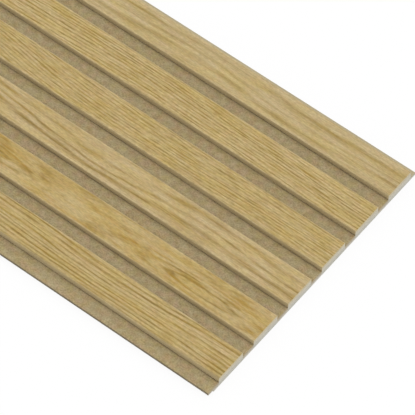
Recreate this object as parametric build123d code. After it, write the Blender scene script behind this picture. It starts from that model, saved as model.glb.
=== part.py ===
from build123d import *
import os

# Slatted wall panel: one board of foamed plastic, drawn through a die as a single section.
# Flat slats stand on a thinner base, with plain open grooves between them.
# Along one side the base ends in an upper lip, and along the other in a lower lip,
# so that the upper lip of the next board lies on the lower lip and the slats keep their spacing.
# The board lies on its back: X runs along the slats, Y across them, Z away from the back.

# Length and slats, in millimetres
board_length = 2400.0
slat_count = 6
slat_width = 27.5
slat_height = 5.0
slat_edge_radius = 0.8
groove_width = 12.5

# Lips along the two sides
upper_lip_thickness = 2.7
lower_lip_thickness = 2.1
lip_reach = 6.0
lip_edge_radius = 0.4
lap_clearance = 0.2

# Heights above the back
upper_lip_underside = lower_lip_thickness + lap_clearance
groove_floor = upper_lip_underside + upper_lip_thickness
slat_top = groove_floor + slat_height

# Widths across the board: the boards of a wall repeat at the cover width
slat_pitch = slat_width + groove_width
cover_width = slat_count * slat_pitch
overall_width = cover_width + lip_reach - lap_clearance

# Places across the board, from the tip of the upper lip to the tip of the lower lip
upper_lip_tip = -overall_width / 2
lower_lip_tip = overall_width / 2
back_edge = upper_lip_tip + lip_reach
first_slat_wall = upper_lip_tip + groove_width - lap_clearance


def section_outline():
    """Corners of the section, as pairs of place across the board and height above its back."""
    corners = [(back_edge, 0), (lower_lip_tip, 0), (lower_lip_tip, lower_lip_thickness)]
    foot = lower_lip_thickness
    for index in reversed(range(slat_count)):
        near_wall = first_slat_wall + index * slat_pitch
        far_wall = near_wall + slat_width
        corners += [(far_wall, foot), (far_wall, slat_top), (near_wall, slat_top), (near_wall, groove_floor)]
        foot = groove_floor
    corners += [(upper_lip_tip, groove_floor), (upper_lip_tip, upper_lip_underside), (back_edge, upper_lip_underside)]
    return corners


def rounded_section():
    """The section as a face, with the slats' upper corners and the lips' upper corners rounded."""
    section = make_face(Polyline(*section_outline(), close=True))
    slat_corners = section.vertices().filter_by_position(Axis.Y, slat_top, slat_top)
    section = fillet(slat_corners, slat_edge_radius)
    lip_corners = [
        section.vertices().sort_by_distance((upper_lip_tip, groove_floor))[0],
        section.vertices().sort_by_distance((lower_lip_tip, lower_lip_thickness))[0],
    ]
    return fillet(lip_corners, lip_edge_radius)


slatted_panel = extrude(Plane.YZ * rounded_section(), amount=board_length / 2, both=True)

os.makedirs("parts", exist_ok=True)
export_step(slatted_panel, "parts/slatted_panel.step")
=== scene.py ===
"""Dresses the slatted wall panel: a foamed board with plain film in its grooves and oak print on its slats.

The board's own sizes are in millimetres, the scene is in metres, and X runs along the slats.
"""
import logging
import math
from collections.abc import Callable
from dataclasses import dataclass, field
from enum import Enum
from functools import partial
from typing import Any

import bpy
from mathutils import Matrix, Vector


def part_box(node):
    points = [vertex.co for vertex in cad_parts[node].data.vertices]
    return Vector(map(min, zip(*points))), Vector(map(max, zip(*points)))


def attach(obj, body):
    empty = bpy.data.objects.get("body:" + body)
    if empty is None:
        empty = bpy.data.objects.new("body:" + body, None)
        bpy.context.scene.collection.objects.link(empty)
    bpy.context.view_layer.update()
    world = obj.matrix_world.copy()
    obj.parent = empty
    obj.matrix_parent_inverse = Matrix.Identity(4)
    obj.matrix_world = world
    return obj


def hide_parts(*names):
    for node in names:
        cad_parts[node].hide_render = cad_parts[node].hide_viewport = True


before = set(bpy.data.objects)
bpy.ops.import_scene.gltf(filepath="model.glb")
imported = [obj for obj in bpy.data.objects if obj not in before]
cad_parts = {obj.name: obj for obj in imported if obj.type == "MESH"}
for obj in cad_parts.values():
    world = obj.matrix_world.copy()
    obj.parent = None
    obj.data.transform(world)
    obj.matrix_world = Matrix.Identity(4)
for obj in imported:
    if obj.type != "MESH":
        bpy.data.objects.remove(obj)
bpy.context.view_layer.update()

NODE = "slatted_panel"
METRES = 0.001
MM_PER_METRE = 1000.0

# Short names for Blender's types
Face = bpy.types.MeshPolygon
Material = bpy.types.Material
Piece = bpy.types.Object
Socket = bpy.types.NodeSocket

# Cosines that sort faces by the way they point, and the angle up to which edges look round
UPWARDS = 0.1
HALFWAY = 0.5
SIDEWAYS = 0.9
UPRIGHT = 0.98
SMOOTH_ANGLE = math.radians(40)

# Places no further apart than this count as one
SAME_PLACE = 0.05 * METRES

# The flat map of a piece: its name, the gap between its rows, the height of its ends and how much
# room a face gets that does not show
MAP_NAME = "OFBake"
MAP_GAP = 1.5 * METRES
MAP_END_HEIGHT = 20.0 * METRES
MAP_HIDDEN_SHARE = 0.1

# The bows of the grain lines come back after this length, which differs a little from slat to slat
FIRST_REPEAT_MM = 800.0
REPEAT_STEP_MM = 25.0

# Spots are about 0.5 on average. Each pair gives the strengths at which an effect begins and is full.
WIDE_WINDOW = (0.25, 0.75)
EVEN_WINDOW = (0.3, 0.7)
PATCH_WINDOW = (0.4, 0.7)

# How far one step of a seed shifts a pattern along X, Y and Z
SEED_SHIFT = (1.0, 1.7, 0.6)

# Indices of refraction of the lacquered film and of the foamed plastic
FILM_IOR = 1.46
FOAM_IOR = 1.5

log = logging.getLogger("slatted_panel")


def linear(hex_colour: str) -> tuple[float, float, float, float]:
    """Turns an sRGB hex colour into linear values.

    Args:
        hex_colour: six hex digits after a hash sign.

    Returns:
        Linear red, green and blue, with an alpha of 1.
    """
    channels = [int(hex_colour[place:place + 2], 16) / 255 for place in (1, 3, 5)]
    red, green, blue = (c / 12.92 if c <= 0.04045 else ((c + 0.055) / 1.055) ** 2.4 for c in channels)
    return red, green, blue, 1.0


WHITE = linear("#FFFFFF")


def add_node(
    tree: bpy.types.NodeTree,
    kind: str,
    *values: Any,
    named: dict[str, Any] | None = None,
    stops: list[tuple[float, Any]] | None = None,
    **settings: Any,
) -> Socket | None:
    """Adds one node with its settings, values and links.

    Args:
        tree: the node tree that takes the node.
        kind: the node's type name after its first words, such as Math or TexNoise.
        values: a value, or an output to link, for each live input in order.
        named: values or outputs for inputs by their names.
        stops: places and colours of a colour ramp.
        settings: properties of the node itself.

    Returns:
        The node's first live output, if it has one.
    """
    node = tree.nodes.new(f"ShaderNode{kind}")
    for name, value in settings.items():
        setattr(node, name, value)
    live = [socket for socket in node.inputs if socket.enabled]
    pairs = [*zip(live, values), *((node.inputs[name], value) for name, value in (named or {}).items())]
    for socket, value in pairs:
        if isinstance(value, Socket):
            tree.links.new(value, socket)
        else:
            socket.default_value = value
    if stops:
        ramp = node.color_ramp
        while len(ramp.elements) < len(stops):
            ramp.elements.new(1.0)
        for element, (place, colour) in zip(ramp.elements, stops):
            element.position = place
            element.color = colour
    return next((socket for socket in node.outputs if socket.enabled), None)


def start_nodes(owner: Material | bpy.types.World) -> Callable[..., Socket]:
    """Empties the node tree of a material or a world.

    Args:
        owner: the material or the world.

    Returns:
        What adds a node to the tree.
    """
    owner.use_nodes = True
    owner.node_tree.nodes.clear()
    return partial(add_node, owner.node_tree)


class Seed(float, Enum):
    """Shifts the layers of the finishes, so that no two are alike. A print adds its slat's own seed."""

    RIPPLE = 1.3
    GAPS = 2.2
    TONE = 3.1
    BLOTS = 3.7
    PORES = 5.7
    YELLOW = 6.6
    HONEY = 8.3
    BLUSH = 9.4
    GROOVE_MOTTLE = 1.6
    GROOVE_YELLOW = 4.4
    GROOVE_BLUSH = 7.2
    GROOVE_PAINTED_SHADE = 9.1
    WALL_STREAKS = 5.1
    SAW_MARKS = 6.2
    CORE_CLOUD = 2.9
    DIE_LINES = 3.3
    SKIN_CLOUD = 7.5
    SKIN_PITS = 1.9


@dataclass
class Recipe:
    """A material in the making: what adds a node to it, and the place on the piece in millimetres."""

    add: Callable[..., Socket]
    place: Socket

    def spots(self, size_mm: tuple[float, ...], detail: float, seed: float = 0.0) -> Socket:
        """Scatters soft spots of a set size.

        Args:
            size_mm: how long and wide a spot is, and how high where that differs from its width.
            detail: how many finer layers the spots have.
            seed: shifts the spots, so that no two patterns are alike.

        Returns:
            How strong the spots are, about 0.5 on average.
        """
        shift = tuple(seed * step for step in SEED_SHIFT)
        stretch = tuple(1 / size for size in (*size_mm, size_mm[1])[:3])
        drawn = self.add("Mapping", self.place, named={"Location": shift, "Scale": stretch})
        return self.add("TexNoise", named={"Vector": drawn, "Scale": 1.0, "Detail": detail})

    def tinted(
        self, colour: Socket, tints: tuple[str, str], size_mm: tuple[float, ...], seed: float
    ) -> Socket:
        """Lays soft patches of a second tint over a colour.

        Args:
            colour: the colour below.
            tints: hex tints of the ground and of the patches, which multiply the colour.
            size_mm: how long and wide a patch is, and how high where that differs from its width.
            seed: shifts the patches.

        Returns:
            The tinted colour.
        """
        share = self.add("MapRange", self.spots(size_mm, detail=1.0, seed=seed), *PATCH_WINDOW, 0.0, 1.0)
        ground, patch = (linear(tint) for tint in tints)
        tint = self.add("Mix", share, ground, patch, data_type="RGBA")
        return self.add("VectorMath", colour, tint, operation="MULTIPLY")


@dataclass(frozen=True, kw_only=True)
class Finish:
    """What every finish has: its name, the depth of its relief, its dullness and its index of refraction.

    Its patterns are measured in millimetres from its origin on the piece.
    """

    name: str
    relief_mm: float
    roughness: float
    ior: float
    origin_mm: tuple[float, float, float] = (0.0, 0.0, 0.0)

    def build(self) -> Material:
        """Makes the finish's material.

        Returns:
            The material, which reads Object coordinates.
        """
        material = bpy.data.materials.new(self.name)
        add = start_nodes(material)
        on_piece = add("TexCoord").node.outputs["Object"]
        shift = tuple(-part for part in self.origin_mm)
        place = add("Mapping", on_piece, named={"Location": shift, "Scale": (MM_PER_METRE,) * 3})
        colour, relief = self.draw(Recipe(add, place))
        bump = add("Bump", named={"Height": relief, "Strength": 1.0, "Distance": self.relief_mm * METRES})
        surface = {"Base Color": colour, "Normal": bump, "Roughness": self.roughness, "IOR": self.ior}
        add("OutputMaterial", add("BsdfPrincipled", named=surface))
        return material

    def draw(self, recipe: Recipe) -> tuple[Socket, Socket]:
        """Draws the surface, which every finish does in its own way.

        Args:
            recipe: the material in the making.

        Returns:
            The surface's colour, and its height as a share of the relief.
        """
        raise NotImplementedError


class Figure(Enum):
    """How the growth rings meet the face of a printed slat."""

    FINE = "fine broken lines"
    CLEAR = "clear parallel lines"
    BROAD = "broad flowing lines"
    CATHEDRAL = "arches and eyes"


@dataclass(frozen=True)
class LineStyle:
    """How the grain of one figure is drawn, with sizes in millimetres and shares from 0 to 1.

    A line breaks after about broken_mm, and broken_floor of it is left in a break. Away from the swirls
    away_share of it is left.
    """

    ring_mm: float
    line_depth: float
    sharpness: float
    faintest_line: float
    uneven: float
    broken_mm: float
    broken_floor: float
    fibre_mm: tuple[float, float]
    fibre_depth: float
    tone_depth: float
    away_share: float = 1.0
    blot_depth: float = 0.12


LINE_STYLES = {
    Figure.FINE: LineStyle(
        ring_mm=2.35, line_depth=0.7, sharpness=1.3, faintest_line=0.5, uneven=0.7, broken_mm=14.0,
        broken_floor=0.45, fibre_mm=(9.0, 0.75), fibre_depth=0.3, tone_depth=0.03,
    ),
    Figure.CLEAR: LineStyle(
        ring_mm=3.2, line_depth=0.76, sharpness=1.3, faintest_line=0.6, uneven=0.7, broken_mm=26.0,
        broken_floor=0.4, fibre_mm=(14.0, 0.8), fibre_depth=0.22, tone_depth=0.04,
    ),
    Figure.BROAD: LineStyle(
        ring_mm=7.5, line_depth=0.58, sharpness=1.3, faintest_line=0.35, uneven=1.0, broken_mm=45.0,
        broken_floor=0.3, fibre_mm=(18.0, 1.0), fibre_depth=0.16, tone_depth=0.12,
    ),
    Figure.CATHEDRAL: LineStyle(
        ring_mm=3.2, line_depth=0.85, sharpness=1.7, faintest_line=0.5, uneven=0.6, broken_mm=24.0,
        broken_floor=0.25, fibre_mm=(8.0, 1.2), fibre_depth=0.1, tone_depth=0.08,
        away_share=0.1, blot_depth=0.45,
    ),
}


@dataclass(frozen=True)
class Swirl:
    """A place where the grain lines bow aside: its middle, its reach and how far it lifts the lines."""

    along_mm: float
    across_mm: float
    length_mm: float
    width_mm: float
    lift_mm: float


@dataclass(frozen=True)
class Grain:
    """The grain that one slat shows: its figure, where its lines bow aside, and its colours."""

    figure: Figure
    seed: float
    swirls: tuple[Swirl, ...]
    spread: float = 1.0
    phase: float = 0.0
    sway_mm: float = 3.0
    honey_share: float = 0.45
    pale: str = "#CFB98B"
    middle: str = "#BAA26C"
    dark: str = "#8E7537"
    honey: str = "#A48427"


# The grain of each slat, from the upper lip to the lower lip, with its swirls' places along the slat,
# across it, their reach in both and their lift. They are counted inwards from the board's end.
GRAINS = (
    Grain(
        Figure.CLEAR,
        seed=11.3,
        swirls=(
            Swirl(110, 3, 70, 15, -2.5),
            Swirl(0, 8, 50, 9, 2.5),
            Swirl(470, -4, 90, 12, 5),
        ),
    ),
    Grain(
        Figure.CATHEDRAL,
        seed=23.9,
        swirls=(
            Swirl(57, -3.8, 55, 6.5, 9),
            Swirl(264, -0.5, 50, 6.5, 9),
            Swirl(480, 2, 60, 6, 8),
        ),
        spread=0.18,
        phase=0.42,
        sway_mm=1.0,
        honey_share=1.0,
        honey="#A98429",
    ),
    Grain(
        Figure.BROAD,
        seed=37.1,
        swirls=(
            Swirl(320, -2, 60, 15, 9),
            Swirl(180, 0, 45, 14, -4),
            Swirl(90, 4, 60, 14, 3),
            Swirl(520, 2, 80, 12, 6),
        ),
        pale="#D1BC92",
        middle="#BCA576",
        dark="#8E7436",
    ),
    Grain(
        Figure.FINE,
        seed=41.7,
        swirls=(
            Swirl(345, 0, 80, 30, 12),
            Swirl(60, -8, 60, 10, 2),
            Swirl(560, 0, 90, 20, -6),
        ),
    ),
    Grain(
        Figure.FINE,
        seed=59.2,
        swirls=(
            Swirl(210, 2, 150, 30, 7),
            Swirl(530, -2, 90, 20, 6),
        ),
        pale="#D2BC8D",
        middle="#BDA570",
    ),
    Grain(
        Figure.BROAD,
        seed=67.4,
        swirls=(
            Swirl(190, 0, 60, 20, 4),
            Swirl(90, -5, 45, 14, -2.5),
            Swirl(0, -8, 50, 8, 4),
            Swirl(500, 0, 90, 15, -5),
        ),
        honey_share=0.3,
        pale="#D0BC91",
        middle="#BBA576",
        dark="#957E47",
    ),
)


@dataclass(frozen=True, kw_only=True)
class OakPrint(Finish):
    """Printed oak film: matt vinyl with a photographed grain and shallow pressed pores.

    The eye sees pale tan earlywood, golden ring lines along the slat, honey blots and fine short pores.
    The slat's rounded edges are painted paler, a painted highlight.
    """

    grain: Grain
    half_width_mm: float
    relief_mm: float = 0.05
    roughness: float = 0.6
    ior: float = FILM_IOR
    # The bows come back at this length, and a share of the first one lies beyond the board's end
    repeat_mm: float
    lead_share: float = 0.125
    # How dark the wood is between its lines, and how dark its middle colour counts, from 0 to 1
    ground_level: float = 0.35
    middle_level: float = 0.45
    # The rings: how late in a ring its line is darkest, how fast widths change, how much lines ripple,
    # the strengths between which a line breaks, and how close to a swirl it is in full
    late_line: float = 1.4
    ring_change: float = 0.6
    ripple_share: float = 0.5
    gap_window: tuple[float, float] = (0.32, 0.62)
    full_closeness: float = 0.5
    # The strengths at which blots and honey patches begin and are full
    blot_window: tuple[float, float] = (0.5, 0.78)
    honey_window: tuple[float, float] = (0.42, 0.64)
    # How long and wide the print's soft variations are
    tone_mm: tuple[float, float] = (140.0, 9.0)
    honey_mm: tuple[float, float] = (40.0, 5.0)
    blot_mm: tuple[float, float] = (20.0, 4.8)
    yellow_mm: tuple[float, float] = (22.0, 7.0)
    blush_mm: tuple[float, float] = (6.0, 4.0)
    sway_spot_mm: tuple[float, float] = (150.0, 30.0)
    ripple_mm: tuple[float, float] = (28.0, 5.0)
    gap_width_mm: float = 2.4
    # Real oak pores are about 3 by 0.2 mm. They are drawn coarser, or they would not show.
    pore_mm: tuple[float, float] = (3.0, 0.7)
    pore_depth: float = 0.14
    # Tints of the print, and the painted highlight along the slat's rounded edges
    yellow_tints: tuple[str, str] = ("#FFFFFF", "#FFFDE6")
    blush_tints: tuple[str, str] = ("#FDFFFE", "#FFFAFC")
    edge: str = "#C9B88F"
    highlight_share: float = 0.4
    highlight_mm: float = 1.4
    highlight_blur_mm: float = 1.0

    def draw(self, recipe: Recipe) -> tuple[Socket, Socket]:
        """Draws the printed wood with its stains, the painted highlight on its edges and its pores.

        Args:
            recipe: the film in the making.

        Returns:
            The film's colour, and its height, which is low in the pores.
        """
        add = recipe.add
        grain = self.grain
        style = LINE_STYLES[grain.figure]
        blots = recipe.spots(self.blot_mm, detail=1.0, seed=grain.seed + Seed.BLOTS)
        blot = add("MapRange", blots, *self.blot_window, 0.0, style.blot_depth)
        ground = self._ground(recipe, style)
        lined = add("Math", self._lines(recipe, style), style.line_depth, ground, operation="MULTIPLY_ADD")
        darkness = add("Math", lined, blot, operation="ADD", use_clamp=True)
        shades = [(0.0, grain.pale), (self.middle_level, grain.middle), (1.0, grain.dark)]
        wood = add("ValToRGB", darkness, stops=[(level, linear(colour)) for level, colour in shades])
        patches = recipe.spots(self.honey_mm, detail=1.0, seed=grain.seed + Seed.HONEY)
        golden = add("MapRange", patches, *self.honey_window, 0.0, grain.honey_share)
        stain = add("Math", add("Math", golden, darkness, operation="MULTIPLY"), blot, operation="MAXIMUM")
        stained = add("Mix", stain, wood, linear(grain.honey), data_type="RGBA")
        warmed = recipe.tinted(stained, self.yellow_tints, self.yellow_mm, grain.seed + Seed.YELLOW)
        blushed = recipe.tinted(warmed, self.blush_tints, self.blush_mm, grain.seed + Seed.BLUSH)
        # A painted highlight: the rounded edges are drawn paler.
        highlighted = add("Mix", self._painted_highlight(recipe), blushed, linear(self.edge), data_type="RGBA")
        pores = recipe.spots(self.pore_mm, detail=1.0, seed=grain.seed + Seed.PORES)
        pore = add("MapRange", pores, *EVEN_WINDOW, 1.0 + self.pore_depth, 1.0 - self.pore_depth)
        return add("VectorMath", highlighted, pore, operation="SCALE"), pore

    def _ground(self, recipe: Recipe, style: LineStyle) -> Socket:
        """Draws the wood between the lines, with its fibres and its broad lighter and darker bands.

        Args:
            recipe: the film in the making.
            style: how the grain is drawn.

        Returns:
            How dark the wood is before its lines, from about 0 to 1.
        """
        add = recipe.add
        fibre = recipe.spots(style.fibre_mm, detail=2.0, seed=self.grain.seed)
        threads = add("MapRange", fibre, *WIDE_WINDOW, -style.fibre_depth, style.fibre_depth)
        tone = recipe.spots(self.tone_mm, detail=2.0, seed=self.grain.seed + Seed.TONE)
        palest = self.ground_level - style.tone_depth
        bands = add("MapRange", tone, *WIDE_WINDOW, palest, palest + 2 * style.tone_depth)
        return add("Math", threads, bands, operation="ADD")

    def _painted_highlight(self, recipe: Recipe) -> Socket:
        """Finds the slat's long edges, where the rounding gets a painted highlight.

        Args:
            recipe: the film in the making.

        Returns:
            How much of the painted highlight is at that place, from 0 to its share.
        """
        across = recipe.add("SeparateXYZ", recipe.place).node.outputs["Y"]
        aside = recipe.add("Math", across, operation="ABSOLUTE")
        start = self.half_width_mm - self.highlight_mm
        return recipe.add("MapRange", aside, start, start + self.highlight_blur_mm, 0.0, self.highlight_share)

    def _depth(self, recipe: Recipe) -> tuple[Socket, Socket]:
        """Finds how deep in the growth rings a place on the slat lies, with the bows that its swirls give.

        Args:
            recipe: the film in the making.

        Returns:
            The depth across the rings in millimetres, and how close the place is to a swirl, which is
            about 1 in its middle.
        """
        add = recipe.add
        grain = self.grain
        parts = add("SeparateXYZ", recipe.place).node.outputs
        inwards = add("Math", parts["X"], -1.0, operation="MULTIPLY")
        start = -self.lead_share * self.repeat_mm
        repeated = add("Math", inwards, self.repeat_mm + start, start, operation="WRAP")
        spot = add("CombineXYZ", repeated, parts["Y"])
        sway_spots = recipe.spots(self.sway_spot_mm, detail=1.0, seed=grain.seed)
        sway = add("MapRange", sway_spots, 0.0, 1.0, -1.0, 1.0)
        level = add("Math", parts["Y"], grain.spread, operation="MULTIPLY")
        depth = add("Math", sway, grain.sway_mm, level, operation="MULTIPLY_ADD")
        closeness = 0.0
        for swirl in grain.swirls:
            stretch = (1 / swirl.length_mm, 1 / swirl.width_mm, 1.0)
            shift = (-swirl.along_mm / swirl.length_mm, -swirl.across_mm / swirl.width_mm, 0.0)
            reach = add("Mapping", spot, named={"Location": shift, "Scale": stretch})
            square = add("VectorMath", reach, reach, operation="DOT_PRODUCT")
            bell = add("Math", math.exp(-1.0), square, operation="POWER")
            depth = add("Math", bell, -swirl.lift_mm, depth, operation="MULTIPLY_ADD")
            closeness = add("Math", bell, closeness, operation="ADD")
        return depth, closeness

    def _lines(self, recipe: Recipe, style: LineStyle) -> Socket:
        """Draws the ring lines, each with a strength of its own that comes and goes.

        Args:
            recipe: the film in the making.
            style: how the lines are drawn.

        Returns:
            How dark the line is at that place, from 0 to 1.
        """
        add = recipe.add
        seed = self.grain.seed
        depth, closeness = self._depth(recipe)
        ripple = recipe.spots(self.ripple_mm, detail=2.0, seed=seed + Seed.RIPPLE)
        shift = add("Math", ripple, self.ripple_share, self.grain.phase, operation="MULTIPLY_ADD")
        wavy = add("Math", depth, 1 / style.ring_mm, shift, operation="MULTIPLY_ADD")
        change = {"W": wavy, "Scale": self.ring_change, "Detail": 1.0}
        widths = add("TexNoise", named=change, noise_dimensions="1D")
        ring = add("Math", widths, style.uneven, wavy, operation="MULTIPLY_ADD")
        number = add("Math", add("Math", ring, operation="FLOOR"), seed, operation="ADD")
        own = add("TexWhiteNoise", number, noise_dimensions="1D")
        strength = add("MapRange", own, 0.0, 1.0, style.faintest_line, 1.0)
        late = add("Math", add("Math", ring, operation="FRACT"), self.late_line, operation="POWER")
        swing = add("Math", add("Math", late, math.tau, operation="MULTIPLY"), operation="COSINE")
        line = add("Math", add("MapRange", swing, 1.0, -1.0, 0.0, 1.0), style.sharpness, operation="POWER")
        gaps = recipe.spots((style.broken_mm, self.gap_width_mm), detail=1.0, seed=seed + Seed.GAPS)
        broken = add("MapRange", gaps, *self.gap_window, style.broken_floor, 1.0)
        by_swirls = add("MapRange", closeness, 0.0, self.full_closeness, style.away_share, 1.0)
        faded = add("Math", broken, by_swirls, operation="MULTIPLY")
        return add("Math", add("Math", line, strength, operation="MULTIPLY"), faded, operation="MULTIPLY")


@dataclass(frozen=True, kw_only=True)
class GrooveFilm(Finish):
    """Plain grey-brown vinyl film in the grooves: matt and faintly mottled.

    A painted shade darkens a narrow strip of the film at each slat's foot, where the corner is in shade.
    """

    pitch_mm: float
    groove_mm: float
    first_wall_mm: float
    name: str = "plain_groove_film"
    relief_mm: float = 0.02
    roughness: float = 0.7
    ior: float = FILM_IOR
    # The mottle's colours, with the strengths at which they are reached, and its spots
    pale: str = "#B9A681"
    dark: str = "#95835E"
    shade_window: tuple[float, float] = (0.58, 1.0)
    fleck_mm: tuple[float, float] = (1.4, 1.0)
    mottle_mm: tuple[float, float] = (5.0, 4.0)
    mottle_share: float = 0.6
    # Tints and the size of their patches
    yellow_tints: tuple[str, str] = ("#FFFFFF", "#FFFDE8")
    blush_tints: tuple[str, str] = ("#FAFFFC", "#FFF7FA")
    tint_mm: tuple[float, float] = (6.0, 5.0)
    # The painted shade at each slat's foot: its colour, its width, how much of that is full, and how it
    # fades here and there
    painted_shade: str = "#74654A"
    painted_shade_mm: float = 1.3
    painted_shade_core_mm: float = 0.2
    painted_shade_spot_mm: tuple[float, float] = (25.0, 4.0)
    faintest_painted_shade: float = 0.6

    def draw(self, recipe: Recipe) -> tuple[Socket, Socket]:
        """Draws the mottled film and the painted shade at the slats' feet.

        Args:
            recipe: the film in the making.

        Returns:
            The film's colour, and its height.
        """
        add = recipe.add
        fleck = recipe.spots(self.fleck_mm, detail=2.0)
        mottle = recipe.spots(self.mottle_mm, detail=3.0, seed=Seed.GROOVE_MOTTLE)
        mottled = add("Math", mottle, self.mottle_share, fleck, operation="MULTIPLY_ADD")
        shades = zip(self.shade_window, (linear(self.dark), linear(self.pale)))
        ground = add("ValToRGB", mottled, stops=list(shades))
        warmed = recipe.tinted(ground, self.yellow_tints, self.tint_mm, Seed.GROOVE_YELLOW)
        blushed = recipe.tinted(warmed, self.blush_tints, self.tint_mm, Seed.GROOVE_BLUSH)
        # The slats' feet get a painted shade: a dark strip on the floor film beside each wall.
        colour = add("Mix", self._painted_shade_strip(recipe), blushed, linear(self.painted_shade), data_type="RGBA")
        return colour, fleck

    def _painted_shade_strip(self, recipe: Recipe) -> Socket:
        """Finds the narrow strip at a slat's foot, where a painted shade darkens the film.

        Args:
            recipe: the film in the making.

        Returns:
            How dark the painted shade is, from 0 to 1.
        """
        add = recipe.add
        across = add("SeparateXYZ", recipe.place).node.outputs["Y"]
        edge = self.groove_mm / 2
        from_first = add("Math", across, self.first_wall_mm - edge, operation="SUBTRACT")
        half_pitch = self.pitch_mm / 2
        from_middle = add("Math", from_first, half_pitch, -half_pitch, operation="WRAP")
        aside = add("Math", from_middle, operation="ABSOLUTE")
        foot = add("MapRange", aside, edge - self.painted_shade_mm, edge - self.painted_shade_core_mm, 0.0, 1.0)
        by_a_slat = add("Math", from_first, 0.0, operation="GREATER_THAN")
        spots = recipe.spots(self.painted_shade_spot_mm, detail=2.0, seed=Seed.GROOVE_PAINTED_SHADE)
        uneven = add("MapRange", spots, *EVEN_WINDOW, self.faintest_painted_shade, 1.0)
        return add("Math", add("Math", foot, by_a_slat, operation="MULTIPLY"), uneven, operation="MULTIPLY")


@dataclass(frozen=True, kw_only=True)
class WallFilm(Finish):
    """The vinyl film on the slats' walls: pale tan, dull and nearly plain, and paler than the groove film
    as painted light on the walls.

    It is darker towards the foot, a painted shade where the wall meets the floor.
    """

    foot_mm: float
    relief_mm: float = 0.02
    roughness: float = 0.7
    ior: float = FILM_IOR
    # Colours paler than the groove film's: painted light on the walls
    pale: str = "#BBAA83"
    dark: str = "#AB9971"
    streak_mm: tuple[float, float] = (30.0, 1.2)
    foot_shade: float = 0.9
    foot_height_mm: float = 2.2

    def draw(self, recipe: Recipe) -> tuple[Socket, Socket]:
        """Draws the film's faint streaks and the painted shade at its foot.

        Args:
            recipe: the film in the making.

        Returns:
            The film's colour, and its height.
        """
        add = recipe.add
        streaks = recipe.spots(self.streak_mm, detail=3.0, seed=Seed.WALL_STREAKS)
        share = add("MapRange", streaks, *EVEN_WINDOW, 0.0, 1.0)
        film = add("Mix", share, linear(self.dark), linear(self.pale), data_type="RGBA")
        height = add("SeparateXYZ", recipe.place).node.outputs["Z"]
        # The foot gets a painted shade: the film darkens towards the floor
        plain_mm = self.foot_mm + self.foot_height_mm
        shade = add("MapRange", height, self.foot_mm, plain_mm, self.foot_shade, 1.0)
        return add("VectorMath", film, shade, operation="SCALE"), streaks


@dataclass(frozen=True, kw_only=True)
class LipTipShade(Finish):
    """The upper lip's tip face: dark brown and dull, a painted shade on the film, with faint streaks."""

    name: str = "lip_tip_painted_shade"
    relief_mm: float = 0.05
    roughness: float = 0.8
    ior: float = FILM_IOR
    pale: str = "#8A7D62"
    dark: str = "#665B46"
    tip_streak_mm: tuple[float, float] = (12.0, 0.6)
    tip_streak_window: tuple[float, float] = (0.35, 0.65)

    def draw(self, recipe: Recipe) -> tuple[Socket, Socket]:
        """Draws the dark, faintly streaked painted shade.

        Args:
            recipe: the edge in the making.

        Returns:
            The edge's colour, and its height.
        """
        tip_streaks = recipe.spots(self.tip_streak_mm, detail=3.0)
        share = recipe.add("MapRange", tip_streaks, *self.tip_streak_window, 0.0, 1.0)
        return recipe.add("Mix", share, linear(self.dark), linear(self.pale), data_type="RGBA"), tip_streaks


@dataclass(frozen=True, kw_only=True)
class SawnCore(Finish):
    """Sawn foamed plastic: a pale dull cut through fine closed cells, with faint upright saw marks.

    The cut is grey at the back and warmer towards the top.
    Each layer is a height above the back in millimetres and the cut's colour there.
    """

    layers: tuple[tuple[float, str], ...]
    board_mm: float
    relief_mm: float = 0.06
    roughness: float = 0.85
    ior: float = FOAM_IOR
    # Real cells are about 0.2 mm wide. They are drawn coarser, or they would not show.
    cell_mm: float = 0.45
    cell_share: float = -0.3
    saw_mark_mm: tuple[float, float, float] = (40.0, 1.6, 12.0)
    saw_share: float = 0.5
    cloud_mm: tuple[float, float, float] = (8.0, 8.0, 4.0)
    # The strengths between which the cut's roughness shades it, and how much darker and paler it gets
    rough_window: tuple[float, float] = (0.3, 0.85)
    shades: tuple[float, float] = (0.9, 1.06)

    def draw(self, recipe: Recipe) -> tuple[Socket, Socket]:
        """Draws the cut's layers, its cells and its saw marks.

        Args:
            recipe: the cut in the making.

        Returns:
            The cut's colour, and its height.
        """
        add = recipe.add
        height = add("SeparateXYZ", recipe.place).node.outputs["Z"]
        share = add("Math", height, self.board_mm, operation="DIVIDE")
        stops = [(level / self.board_mm, linear(colour)) for level, colour in self.layers]
        foam = add("ValToRGB", share, stops=stops)
        cells = add("TexVoronoi", recipe.place, 1 / self.cell_mm)
        saw = recipe.spots(self.saw_mark_mm, detail=2.0, seed=Seed.SAW_MARKS)
        cloud = recipe.spots(self.cloud_mm, detail=3.0, seed=Seed.CORE_CLOUD)
        marks = add("Math", saw, self.saw_share, cloud, operation="MULTIPLY_ADD")
        rough = add("Math", cells, self.cell_share, marks, operation="MULTIPLY_ADD")
        shade = add("MapRange", rough, *self.rough_window, *self.shades)
        relief = add("Math", cells, saw, operation="ADD")
        return add("VectorMath", foam, shade, operation="SCALE"), relief


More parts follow.
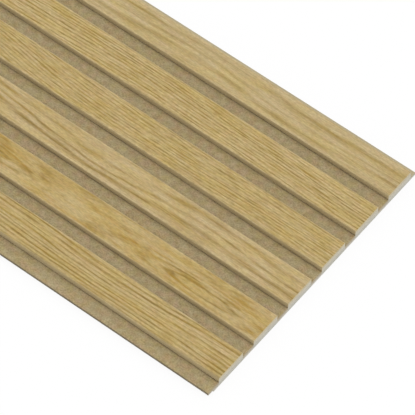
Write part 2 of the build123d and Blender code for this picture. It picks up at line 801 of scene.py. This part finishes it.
@dataclass(frozen=True, kw_only=True)
class CoreSkin(Finish):
    """Extruded skin of the foamed plastic: cream and smooth, with long die lines and a few pits."""

    pale: str
    dark: str
    relief_mm: float = 0.08
    roughness: float = 0.5
    ior: float = FOAM_IOR
    shade_window: tuple[float, float] = (0.5, 1.0)
    die_line_mm: tuple[float, float] = (900.0, 2.5)
    die_line_share: float = 0.6
    cloud_mm: tuple[float, float] = (60.0, 22.0)
    pit_mm: tuple[float, float] = (2.2, 1.4)
    pit_window: tuple[float, float] = (0.68, 0.76)
    pit_depth: float = 0.35

    def draw(self, recipe: Recipe) -> tuple[Socket, Socket]:
        """Draws the skin's die lines, its clouds and its pits.

        Args:
            recipe: the skin in the making.

        Returns:
            The skin's colour, and its height.
        """
        add = recipe.add
        die_lines = recipe.spots(self.die_line_mm, detail=2.0, seed=Seed.DIE_LINES)
        cloud = recipe.spots(self.cloud_mm, detail=3.0, seed=Seed.SKIN_CLOUD)
        pits = recipe.spots(self.pit_mm, detail=1.0, seed=Seed.SKIN_PITS)
        pit = add("MapRange", pits, *self.pit_window, 0.0, self.pit_depth)
        even = add("Math", die_lines, self.die_line_share, cloud, operation="MULTIPLY_ADD")
        pitted = add("Math", even, pit, operation="SUBTRACT")
        shades = zip(self.shade_window, (linear(self.dark), linear(self.pale)))
        colour = add("ValToRGB", pitted, stops=list(shades))
        return colour, add("Math", die_lines, pit, operation="SUBTRACT")


def add_block(name: str, low: Vector, high: Vector) -> Piece:
    """Adds a cube primitive that fills a box, with its size and place in its mesh.

    Args:
        name: the new piece's name.
        low: the box's lowest corner, in metres.
        high: the box's highest corner, in metres.

    Returns:
        The new object, alone selected and active.
    """
    bpy.ops.object.select_all(action="DESELECT")
    bpy.ops.mesh.primitive_cube_add(size=1, location=(low + high) / 2, scale=high - low)
    bpy.ops.object.transform_apply(location=True, rotation=True, scale=True)
    block = bpy.context.active_object
    block.name = name
    block.data.name = name
    return block


def _clear_selection(kind: str) -> None:
    """Empties the active mesh's selection and leaves edit mode.

    Args:
        kind: what can be selected from then on, FACE or EDGE.
    """
    bpy.ops.object.mode_set(mode="EDIT")
    bpy.ops.mesh.select_mode(type=kind)
    bpy.ops.mesh.select_all(action="DESELECT")
    bpy.ops.object.mode_set(mode="OBJECT")


def select_faces(piece: Piece, wanted: Callable[[Face], bool]) -> None:
    """Goes into edit mode with only the wanted faces selected.

    Args:
        piece: the active object.
        wanted: tells whether a face is one of them.
    """
    _clear_selection("FACE")
    for face in piece.data.polygons:
        face.select = wanted(face)
    bpy.ops.object.mode_set(mode="EDIT")


def select_edges(piece: Piece, wanted: Callable[[Vector, Vector], bool]) -> None:
    """Goes into edit mode with only the wanted edges selected.

    Args:
        piece: the active object.
        wanted: tells by an edge's two ends whether it is one of them.
    """
    _clear_selection("EDGE")
    points = piece.data.vertices
    for edge in piece.data.edges:
        edge.select = wanted(*(points[corner].co for corner in edge.vertices))
    bpy.ops.object.mode_set(mode="EDIT")


def pull_faces(piece: Piece, wanted: Callable[[Face], bool], move: tuple[float, float, float]) -> None:
    """Extrudes the wanted faces.

    Args:
        piece: the active object.
        wanted: tells whether a face is one of them.
        move: how far they go, in metres.
    """
    select_faces(piece, wanted)
    bpy.ops.mesh.extrude_region_move(TRANSFORM_OT_translate={"value": move})
    bpy.ops.object.mode_set(mode="OBJECT")


def round_edges(
    piece: Piece, wanted: Callable[[Vector, Vector], bool], radius_mm: float, steps: int
) -> None:
    """Rounds the wanted edges.

    Args:
        piece: the active object.
        wanted: tells by an edge's two ends whether it is one of them.
        radius_mm: the rounding's radius.
        steps: how many faces the rounding has.
    """
    select_edges(piece, wanted)
    bpy.ops.mesh.bevel(offset=radius_mm * METRES, segments=steps, affect="EDGES")
    bpy.ops.object.mode_set(mode="OBJECT")


def cut_whole(point: tuple[float, float, float], normal: tuple[float, float, float]) -> None:
    """Cuts the active mesh along a plane and keeps both sides.

    Args:
        point: a point of the plane, in metres.
        normal: the plane's direction.
    """
    bpy.ops.object.mode_set(mode="EDIT")
    bpy.ops.mesh.select_all(action="SELECT")
    bpy.ops.mesh.bisect(plane_co=point, plane_no=normal)
    bpy.ops.object.mode_set(mode="OBJECT")


def near(value: float, target: float) -> bool:
    """Whether two places count as one."""
    return abs(value - target) < SAME_PLACE


def faces_along(face: Face) -> bool:
    """Whether a face looks along the board, as its cut ends do."""
    return abs(face.normal.x) > HALFWAY


def wear(piece: Piece, finishes: list[Material], choose: Callable[[Face], int]) -> None:
    """Gives a piece its finishes and each face one of them.

    Args:
        piece: the object.
        finishes: the materials in order.
        choose: tells the number of a face's finish.
    """
    piece.data.materials.clear()
    for finish in finishes:
        piece.data.materials.append(finish)
    for face in piece.data.polygons:
        face.material_index = choose(face)


@dataclass
class RowMap:
    """A flat map on which a long piece lies in rows, one beside the other, for a picture of its finish.

    On a square picture one long strip would blur along its length. The two ends lie beyond the last row.
    """

    low: Vector
    high: Vector
    rows: int

    def row_length(self) -> float:
        """The length of one row, in metres."""
        return (self.high.x - self.low.x) / self.rows

    def cut(self) -> None:
        """Cuts the active piece where one row ends and the next begins."""
        for row in range(1, self.rows):
            cut_whole((self.low.x + row * self.row_length(), 0, 0), (1, 0, 0))

    def lay(self, piece: Piece, across: Callable[[Face, Vector], float]) -> None:
        """Gives every corner of every face its place on the map.

        Args:
            piece: the object, cut between its rows.
            across: tells how far across its row a corner of a face lies, in metres.
        """
        mesh = piece.data
        corners = [
            (corner, face, mesh.vertices[mesh.loops[corner].vertex_index].co)
            for face in mesh.polygons
            for corner in face.loop_indices
        ]
        widths = [across(face, point) for _, face, point in corners if not faces_along(face)]
        row_width = MAP_GAP + max(widths)
        length = self.row_length() + MAP_GAP
        width = self.rows * row_width + MAP_END_HEIGHT + MAP_GAP
        places = mesh.uv_layers.new(name=MAP_NAME).uv
        for corner, face, point in corners:
            if faces_along(face):
                along, aside = self._on_end(face, point)
                aside += self.rows * row_width
            else:
                row = int((face.center.x - self.low.x) / self.row_length())
                along = point.x - self.low.x - row * self.row_length()
                aside = row * row_width + across(face, point)
            places[corner].vector = ((along + MAP_GAP / 2) / length, (aside + MAP_GAP / 2) / width)

    def _on_end(self, face: Face, point: Vector) -> tuple[float, float]:
        """Places a corner of an end face, with one end in each half of the row.

        Args:
            face: a face of the piece's end.
            point: the corner, in metres.

        Returns:
            How far along and across the ends' own row it lies, in metres.
        """
        half = self.row_length() / 2
        start = half if face.normal.x > 0 else 0.0
        along = start + (half - MAP_GAP) * (point.y - self.low.y) / (self.high.y - self.low.y)
        return along, MAP_END_HEIGHT * (point.z - self.low.z) / (self.high.z - self.low.z)


@dataclass
class Section:
    """Sizes of the board's section, in millimetres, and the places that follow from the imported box."""

    slat_count: int = 6
    slat_width: float = 27.5
    groove_width: float = 12.5
    slat_edge_radius: float = 0.8
    groove_floor: float = 5.0
    upper_lip_underside: float = 2.3
    lower_lip_top: float = 2.1
    lip_reach: float = 6.0
    lip_edge_radius: float = 0.4
    lap_clearance: float = 0.2
    low: Vector = field(default_factory=lambda: Vector(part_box(NODE)[0]))
    high: Vector = field(default_factory=lambda: Vector(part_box(NODE)[1]))

    def thickness(self) -> float:
        """The board's thickness, from its back to the slats' tops, in millimetres."""
        return (self.high.z - self.low.z) * MM_PER_METRE

    def pitch(self) -> float:
        """The distance from one slat to the next, in millimetres."""
        return self.slat_width + self.groove_width

    def near_wall(self, index: int) -> float:
        """The near side of a slat, counted from the upper lip, in metres."""
        start = self.groove_width - self.lap_clearance
        return self.low.y + (start + index * self.pitch()) * METRES

    def far_wall(self, index: int) -> float:
        """The far side of a slat, counted from the upper lip, in metres."""
        return self.near_wall(index) + self.slat_width * METRES

    def slat_foot(self) -> float:
        """The height of the groove floor, where the slats begin, in metres."""
        return self.low.z + self.groove_floor * METRES

    def covered_before(self, across: float) -> float:
        """How much of the board's top, up to a place across it, lies under slats, in metres."""
        starts = (self.near_wall(index) for index in range(self.slat_count))
        return sum(min(max(across - start, 0.0), self.slat_width * METRES) for start in starts)

    def shown_width(self) -> float:
        """The board's width on its map, with little room for what the slats cover, in metres."""
        return self.high.y - self.low.y - (1 - MAP_HIDDEN_SHARE) * self.covered_before(self.high.y)

    def under_a_slat(self, across: float) -> bool:
        """Whether a place across the board, in metres, lies between a slat's walls."""
        return any(self.near_wall(i) < across < self.far_wall(i) for i in range(self.slat_count))


class BoardZone(Enum):
    """What a face of the board wears."""

    SKIN = 0
    FILM = 1
    SHADED_LIP_TIP = 2
    CUT = 3
    CUT_BY_GROOVE = 4
    LIP_SEAT = 5
    OUTER_WALL = 6


@dataclass
class FoamBoard:
    """The board under the slats: its base and both lips in one closed mesh."""

    section: Section
    lip_edge_steps: int = 3
    map_rows: int = 4

    def build(self) -> Piece:
        """Models the board from one block.

        Returns:
            The board's object.
        """
        size = self.section
        reach = size.lip_reach * METRES
        floor = size.slat_foot()
        underside = size.low.z + size.upper_lip_underside * METRES
        seat = size.low.z + size.lower_lip_top * METRES
        board = add_block(
            "foam_board",
            Vector((size.low.x, size.low.y + reach, size.low.z)),
            Vector((size.high.x, size.high.y - reach, floor)),
        )
        for level in (underside, seat):
            cut_whole((0, 0, level), (0, 0, 1))

        def above_step(face: Face) -> bool:
            """Whether a face is the near side's upper part, which becomes the upper lip."""
            return face.normal.y < -SIDEWAYS and face.center.z > underside

        def below_seat(face: Face) -> bool:
            """Whether a face is the far side's lower part, which becomes the lower lip."""
            return face.normal.y > SIDEWAYS and face.center.z < seat

        pull_faces(board, above_step, (0, -reach, 0))
        pull_faces(board, below_seat, (0, reach, 0))
        for index in range(size.slat_count):
            cut_whole((0, size.near_wall(index), 0), (0, 1, 0))
            if index < size.slat_count - 1:
                cut_whole((0, size.far_wall(index), 0), (0, 1, 0))
        self._round_lips(board, floor, seat)
        rows = RowMap(size.low, Vector((size.high.x, size.high.y, floor)), self.map_rows)
        rows.cut()
        bpy.ops.object.mode_set(mode="EDIT")
        bpy.ops.mesh.select_all(action="SELECT")
        bpy.ops.mesh.normals_make_consistent(inside=False)
        bpy.ops.object.mode_set(mode="OBJECT")
        bpy.ops.object.shade_smooth_by_angle(angle=SMOOTH_ANGLE)
        rows.lay(board, self._across)
        return board

    def _across(self, face: Face, point: Vector) -> float:
        """Measures round the section, from the upper lip over the top to the lower lip, then the underside.

        Args:
            face: a face along the board.
            point: one of its corners, in metres.

        Returns:
            How far across the map's row the corner lies, in metres.
        """
        size = self.section
        tip_height = (size.groove_floor - size.upper_lip_underside) * METRES
        step_height = size.upper_lip_underside * METRES
        reach = point.y - size.low.y
        side = math.copysign(1.0, point.y)
        on_step = face.normal.y < -HALFWAY and face.center.z < size.low.z + step_height
        if face.normal.z < -HALFWAY or on_step:
            start = tip_height + size.shown_width() + size.groove_floor * METRES + MAP_GAP
            return start + MAP_HIDDEN_SHARE * (step_height + reach + side * (point.z - size.low.z))
        shown = reach - (1 - MAP_HIDDEN_SHARE) * size.covered_before(point.y)
        return tip_height + shown + side * (size.slat_foot() - point.z)

    def _round_lips(self, board: Piece, floor: float, seat: float) -> None:
        """Rounds the lips' upper outer edges.

        Args:
            board: the board's object.
            floor: the height of the upper lip's top, in metres.
            seat: the height of the lower lip's top, in metres.
        """
        size = self.section
        tips = ((size.low.y, floor), (size.high.y, seat))

        def outer_edge(start: Vector, end: Vector) -> bool:
            """Whether an edge runs along a lip's tip at its top."""
            return any(all(near(p.y, y) and near(p.z, z) for p in (start, end)) for y, z in tips)

        round_edges(board, outer_edge, size.lip_edge_radius, self.lip_edge_steps)

    def dress(self, board: Piece, finishes: dict[BoardZone, Material]) -> None:
        """Puts film on the grooves and the upper lip, and leaves bare core elsewhere.

        Args:
            board: the board's object.
            finishes: the material of each zone.
        """
        wear(board, [finishes[zone] for zone in BoardZone], lambda face: self._zone(face).value)

    def _zone(self, face: Face) -> BoardZone:
        """Tells what a face wears.

        Args:
            face: a face of the board.

        Returns:
            The face's zone.
        """
        size = self.section
        on_lower_lip = face.center.y > size.far_wall(size.slat_count - 1)
        if faces_along(face):
            covered = size.under_a_slat(face.center.y) or on_lower_lip
            return BoardZone.CUT if covered else BoardZone.CUT_BY_GROOVE
        on_upper_lip = face.center.y < size.low.y + size.lip_reach * METRES / 2
        # The upper lip's tip face wears a dark painted shade.
        if on_upper_lip and face.normal.y < -SIDEWAYS:
            return BoardZone.SHADED_LIP_TIP
        if face.normal.z > UPWARDS:
            return BoardZone.LIP_SEAT if on_lower_lip else BoardZone.FILM
        above_lip = face.center.z > size.low.z + size.lower_lip_top * METRES
        if face.normal.y > UPRIGHT and above_lip:
            return BoardZone.OUTER_WALL
        return BoardZone.SKIN


class SlatZone(Enum):
    """What a face of a slat wears."""

    PRINT = 0
    NEAR_WALL = 1
    FAR_WALL = 2
    CUT = 3


@dataclass
class SlatRow:
    """The row of slats: one bar with rounded upper edges, modelled once and copied across the board."""

    section: Section
    edge_steps: int = 6
    map_rows: int = 7

    def build(self) -> list[Piece]:
        """Models the first slat and copies it to the other places.

        Returns:
            The slats' objects, from the upper lip to the lower lip.
        """
        first = self._first()
        return [first, *(self._copy(first, index) for index in range(1, self.section.slat_count))]

    def _first(self) -> Piece:
        """Models the slat beside the upper lip from one block.

        Returns:
            The slat's object.
        """
        size = self.section
        low = Vector((size.low.x, size.near_wall(0), size.slat_foot()))
        high = Vector((size.high.x, size.far_wall(0), size.high.z))
        slat = add_block("slat_1", low, high)

        def long_top_edge(start: Vector, end: Vector) -> bool:
            """Whether an edge runs along the slat's top."""
            return near(start.z, size.high.z) and near(end.z, size.high.z) and near(start.y, end.y)

        round_edges(slat, long_top_edge, size.slat_edge_radius, self.edge_steps)
        rows = RowMap(low, high, self.map_rows)
        rows.cut()
        bpy.ops.object.shade_smooth_by_angle(angle=SMOOTH_ANGLE)
        rows.lay(slat, self._across)
        return slat

    def _across(self, face: Face, point: Vector) -> float:
        """Measures round the first slat, up the near wall, over the top and down again, then the underside.

        Args:
            face: a face along the slat.
            point: one of its corners, in metres.

        Returns:
            How far across the map's row the corner lies, in metres.
        """
        size = self.section
        wall_height = size.high.z - size.slat_foot()
        reach = point.y - size.near_wall(0)
        if face.normal.z < -HALFWAY:
            round_it = size.slat_width * METRES + 2 * wall_height
            return round_it + MAP_GAP + MAP_HIDDEN_SHARE * reach
        side = math.copysign(1.0, reach - size.slat_width * METRES / 2)
        return wall_height + reach + side * (size.high.z - point.z)

    def _copy(self, first: Piece, index: int) -> Piece:
        """Copies the first slat, with a mesh of its own, to another place across the board.

        Args:
            first: the first slat's object.
            index: the slat's number, counted from nought at the upper lip.

        Returns:
            The copy's object.
        """
        bpy.ops.object.select_all(action="DESELECT")
        first.select_set(True)
        bpy.context.view_layer.objects.active = first
        bpy.ops.object.duplicate(linked=False)
        bpy.ops.transform.translate(value=(0, index * self.section.pitch() * METRES, 0))
        bpy.ops.object.transform_apply(location=True, rotation=True, scale=True)
        slat = bpy.context.active_object
        slat.name = f"slat_{index + 1}"
        slat.data.name = slat.name
        return slat

    def dress(self, slat: Piece, finishes: dict[SlatZone, Material]) -> None:
        """Prints the top and its rounded edges, puts plain film on the walls and leaves the cut ends bare.

        Args:
            slat: the slat's object.
            finishes: the material of each zone.
        """
        wear(slat, [finishes[zone] for zone in SlatZone], lambda face: self._zone(face).value)

    def _zone(self, face: Face) -> SlatZone:
        """Tells what a face wears.

        Args:
            face: a face of a slat.

        Returns:
            The face's zone.
        """
        if faces_along(face) or face.normal.z < -HALFWAY:
            return SlatZone.CUT
        if abs(face.normal.y) < UPRIGHT:
            return SlatZone.PRINT
        return SlatZone.FAR_WALL if face.normal.y > 0 else SlatZone.NEAR_WALL


@dataclass
class Studio:
    """Pale floor, soft light and the camera at the picture's viewing angle."""

    section: Section
    azimuth: float = math.radians(38.39)
    elevation: float = math.radians(55.72)
    distance_mm: float = 2949.2
    target_from_end_mm: float = 101.6
    target_across_mm: float = 4.47
    lens_mm: float = 349.55
    sensor_mm: float = 36.0
    farthest_sight_m: float = 100.0
    floor_size_m: float = 60.0
    floor_albedo: float = 0.8
    floor_shadow_share: float = 0.1
    dome_strength: float = 0.95
    key_share: float = 0.06
    key_tilt: float = math.radians(35)
    key_spread: float = math.radians(50)

    def build(self) -> None:
        """Sets the camera, the floor, the dome and the key light."""
        self._camera()
        self._floor()
        self._dome()
        self._key()
        bpy.context.scene.view_settings.view_transform = "Standard"

    def _camera(self) -> None:
        """Places the camera by its angles about a point near the visible end."""
        back = Vector((
            math.sin(self.azimuth) * math.cos(self.elevation),
            -math.cos(self.azimuth) * math.cos(self.elevation),
            math.sin(self.elevation),
        ))
        target = Vector((
            self.section.high.x - self.target_from_end_mm * METRES,
            self.target_across_mm * METRES,
            0.0,
        ))
        camera = bpy.data.cameras.new("camera")
        camera.lens = self.lens_mm
        camera.sensor_width = self.sensor_mm
        camera.clip_end = self.farthest_sight_m
        holder = bpy.data.objects.new("camera", camera)
        holder.location = target + back * self.distance_mm * METRES
        holder.rotation_euler = back.to_track_quat("Z", "Y").to_euler()
        bpy.context.scene.collection.objects.link(holder)
        bpy.context.scene.camera = holder

    def _floor(self) -> None:
        """Adds the pale floor, which shows white and keeps the board's shadow."""
        bpy.ops.object.select_all(action="DESELECT")
        bpy.ops.mesh.primitive_plane_add(size=self.floor_size_m, location=(0, 0, 0))
        floor = bpy.context.active_object
        floor.name = "floor"
        material = bpy.data.materials.new("studio_floor")
        add = start_nodes(material)
        seen = self._seen_directly(add)
        shade = add("MapRange", seen, 0.0, 1.0, self.floor_albedo, self.floor_shadow_share)
        lift = add("Math", seen, 1 - self.floor_shadow_share, operation="MULTIPLY")
        glow = add("Emission", WHITE, lift)
        add("OutputMaterial", add("AddShader", add("BsdfDiffuse", shade), glow))
        floor.data.materials.append(material)

    def _seen_directly(self, add: Callable[..., Socket]) -> Socket:
        """Joins the ray kinds that show the backdrop.

        Args:
            add: adds a node to the backdrop's tree.

        Returns:
            1 for camera, glossy and transmission rays, otherwise 0.
        """
        rays = add("LightPath").node.outputs
        straight = add("Math", rays["Is Camera Ray"], rays["Is Glossy Ray"], operation="MAXIMUM")
        return add("Math", straight, rays["Is Transmission Ray"], operation="MAXIMUM")

    def _dome(self) -> None:
        """Lights the scene evenly from above, and shows white behind it."""
        world = bpy.data.worlds.new("studio_dome")
        add = start_nodes(world)
        strength = add("MapRange", self._seen_directly(add), 0.0, 1.0, self.dome_strength, 1.0)
        add("OutputWorld", add("Background", WHITE, strength))
        bpy.context.scene.world = world

    def _key(self) -> None:
        """Adds a broad soft key from the far side of the board."""
        key = bpy.data.lights.new("key", "SUN")
        key.energy = self.key_share * math.pi / math.cos(self.key_tilt)
        key.angle = self.key_spread
        holder = bpy.data.objects.new("key", key)
        holder.rotation_euler = (-self.key_tilt, 0, 0)
        bpy.context.scene.collection.objects.link(holder)


def oak_prints(section: Section) -> list[OakPrint]:
    """Chooses the printed film of each slat, from the upper lip to the lower lip.

    Args:
        section: the board's sizes, for the slats' middle lines.

    Returns:
        One finish for each slat.
    """
    prints = []
    for index, grain in enumerate(GRAINS):
        middle = (section.near_wall(index) + section.far_wall(index)) / 2
        prints.append(
            OakPrint(
                name=f"oak_print_film_{index + 1}",
                grain=grain,
                origin_mm=tuple(part * MM_PER_METRE for part in (section.high.x, middle, section.high.z)),
                half_width_mm=section.slat_width / 2,
                repeat_mm=FIRST_REPEAT_MM + index * REPEAT_STEP_MM,
            )
        )
    return prints


def board_finishes(section: Section) -> dict[BoardZone, Material]:
    """Makes the board's finishes.

    Args:
        section: the board's sizes, for the grooves' places.

    Returns:
        The material of each zone.
    """
    film = GrooveFilm(
        pitch_mm=section.pitch(),
        groove_mm=section.groove_width,
        first_wall_mm=section.near_wall(0) * MM_PER_METRE,
    )
    under_slats = ((3.0, "#C9C6B9"), (6.0, "#D2CBB8"), (10.0, "#CDBF9B"))
    by_grooves = ((0.5, "#D6D1C4"), (3.2, "#B8AC95"), (6.0, "#B3A68B"))
    thick = section.thickness()
    chosen = {
        BoardZone.SKIN: CoreSkin(name="extruded_foam_skin", pale="#E4DAC1", dark="#D6CAAE"),
        # The lower lip's top wears a darker copy of the skin, a painted shade beside the last slat.
        BoardZone.LIP_SEAT: CoreSkin(name="foam_skin_painted_shade", pale="#C0B390", dark="#B0A27F"),
        BoardZone.FILM: film,
        # The upper lip's tip wears a dark painted shade.
        BoardZone.SHADED_LIP_TIP: LipTipShade(),
        BoardZone.CUT: SawnCore(name="sawn_foam_core", layers=under_slats, board_mm=thick),
        BoardZone.OUTER_WALL: WallFilm(name="outer_wall_film_painted_paler", foot_mm=section.lower_lip_top),
        BoardZone.CUT_BY_GROOVE: SawnCore(name="sawn_foam_core_by_film", layers=by_grooves, board_mm=thick),
    }
    return {zone: finish.build() for zone, finish in chosen.items()}


def main() -> None:
    """Builds the board, its printed slats and the studio."""
    logging.basicConfig(level=logging.INFO, format="%(name)s: %(message)s")
    section = Section()
    finishes = board_finishes(section)
    wall_film = WallFilm(name="wall_film_painted_paler", foot_mm=section.groove_floor).build()
    board = FoamBoard(section)
    board_piece = board.build()
    board.dress(board_piece, finishes)
    row = SlatRow(section)
    slats = row.build()
    for slat, oak_print in zip(slats, oak_prints(section)):
        outermost = slat is slats[-1]
        slat_finishes = {
            SlatZone.PRINT: oak_print.build(),
            SlatZone.NEAR_WALL: wall_film,
            SlatZone.FAR_WALL: finishes[BoardZone.OUTER_WALL] if outermost else wall_film,
            SlatZone.CUT: finishes[BoardZone.CUT],
        }
        row.dress(slat, slat_finishes)
    for piece in (board_piece, *slats):
        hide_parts(NODE)
        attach(piece, "root")
        log.info("%s has %d faces", piece.name, len(piece.data.polygons))
    Studio(section).build()


if __name__ == "__main__":
    main()
